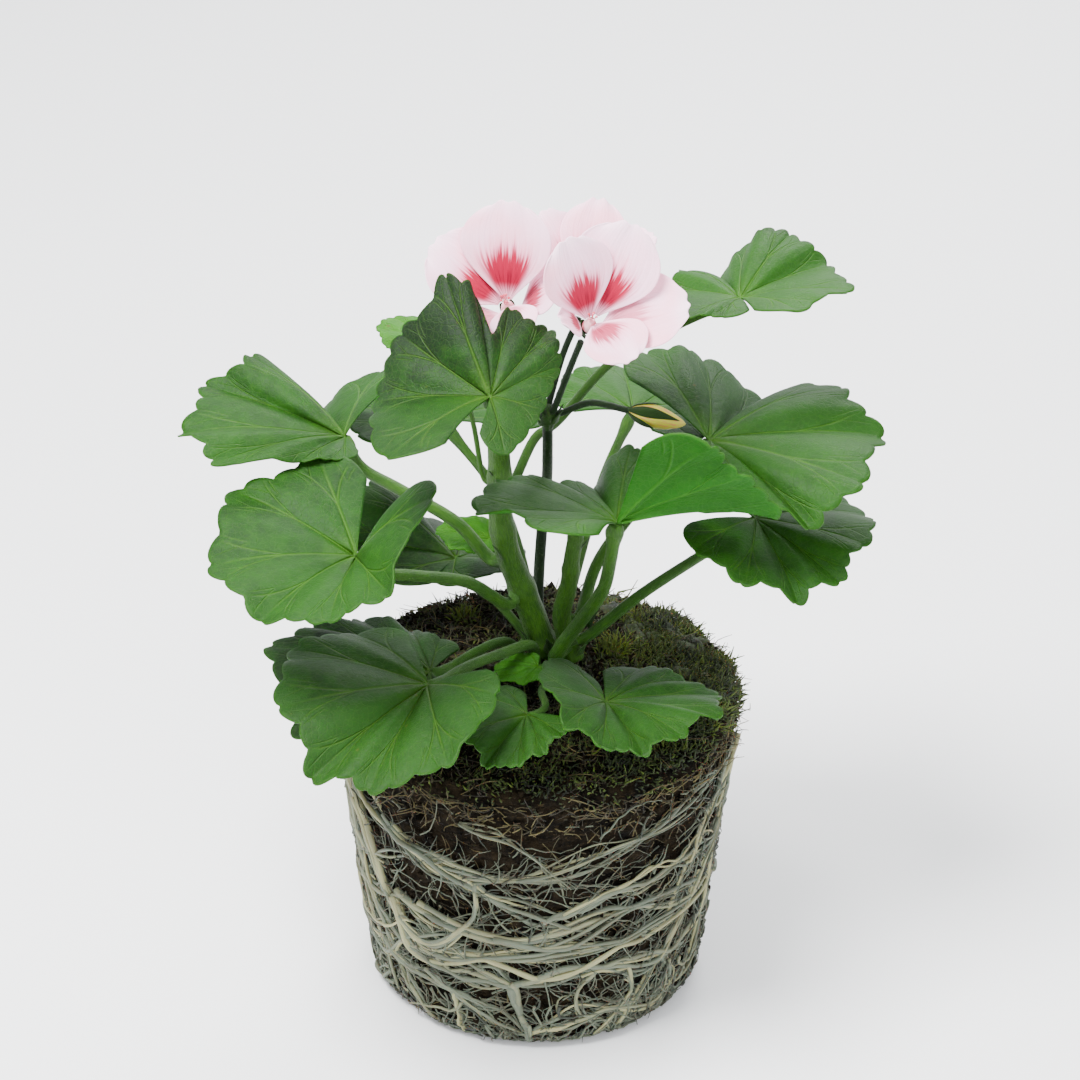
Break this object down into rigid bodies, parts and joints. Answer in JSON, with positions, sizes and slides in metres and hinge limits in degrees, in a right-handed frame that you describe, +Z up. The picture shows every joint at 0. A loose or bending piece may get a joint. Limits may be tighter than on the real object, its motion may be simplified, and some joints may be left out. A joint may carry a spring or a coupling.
{
  "type": "geranium plant with bare root ball",
  "caption": "Bicolour pink zonal geranium lifted out of its pot: bare root ball with a root net and moss, branching stems, rounded scalloped leaves, an open flower head and a bud.",
  "frame": {"origin": "centre of the root ball's flat bottom face, on the surface it stands on", "axes": "+Z up; -Y towards the side with the open flowers; +X to the right of it"},
  "size_m": [0.2021, 0.1731, 0.2527],
  "materials": {
    "peat": "dark brown-black fibrous peat, matt and damp",
    "roots": "cream to grey-green living roots, matt",
    "moss": "yellow-green moss tufts over dark peat fibre",
    "leaf": "mid green felted blade with paler veins, bluish green underneath",
    "young_leaf": "light yellow-green young blade",
    "stem": "light green, finely hairy",
    "flower_stalk": "dark green, finely hairy",
    "calyx": "green, hairy",
    "bud": "green sepals with a yellow and pink tip",
    "petal": "very pale pink, with a feathered cerise-red eye"
  },
  "bodies": {
    "root": {"calyx_back": "calyx", "calyx_left": "calyx", "calyx_right": "calyx", "flower_bud": "bud", "flower_stalk": "flower_stalk", "leaf_back_left": "leaf", "leaf_back_left_low": "leaf", "leaf_back_right": "leaf", "leaf_front_low": "leaf", "leaf_front_right": "leaf", "leaf_left_low": "leaf", "leaf_left_middle": "leaf", "leaf_left_under": "leaf", "leaf_left_upper": "leaf", "leaf_right_low": "leaf", "leaf_right_lower": "leaf", "leaf_right_top": "leaf", "leaf_right_upper": "leaf", "leaf_top_front": "leaf", "main_stem": "stem", "moss_cushion": "moss", "pedicel_back": "flower_stalk", "pedicel_bud": "flower_stalk", "pedicel_left": "flower_stalk", "pedicel_right": "flower_stalk", "petal_back_1": "petal", "petal_back_2": "petal", "petal_back_3": "petal", "petal_back_4": "petal", "petal_back_5": "petal", "petal_left_1": "petal", "petal_left_2": "petal", "petal_left_3": "petal", "petal_left_4": "petal", "petal_left_5": "petal", "petal_right_1": "petal", "petal_right_2": "petal", "petal_right_3": "petal", "petal_right_4": "petal", "petal_right_5": "petal", "root_mat": "roots", "side_shoot": "stem", "soil_plug": "peat", "stalk_back_left": "stem", "stalk_back_left_low": "stem", "stalk_back_right": "stem", "stalk_front_low": "stem", "stalk_front_right": "stem", "stalk_left_low": "stem", "stalk_left_middle": "stem", "stalk_left_under": "stem", "stalk_left_upper": "stem", "stalk_right_low": "stem", "stalk_right_lower": "stem", "stalk_right_top": "stem", "stalk_right_upper": "stem", "stalk_top_front": "stem", "young_leaf_crown_front": "young_leaf", "young_leaf_stem_left": "young_leaf", "young_leaf_stem_top": "young_leaf"}
  },
  "joints": []
}
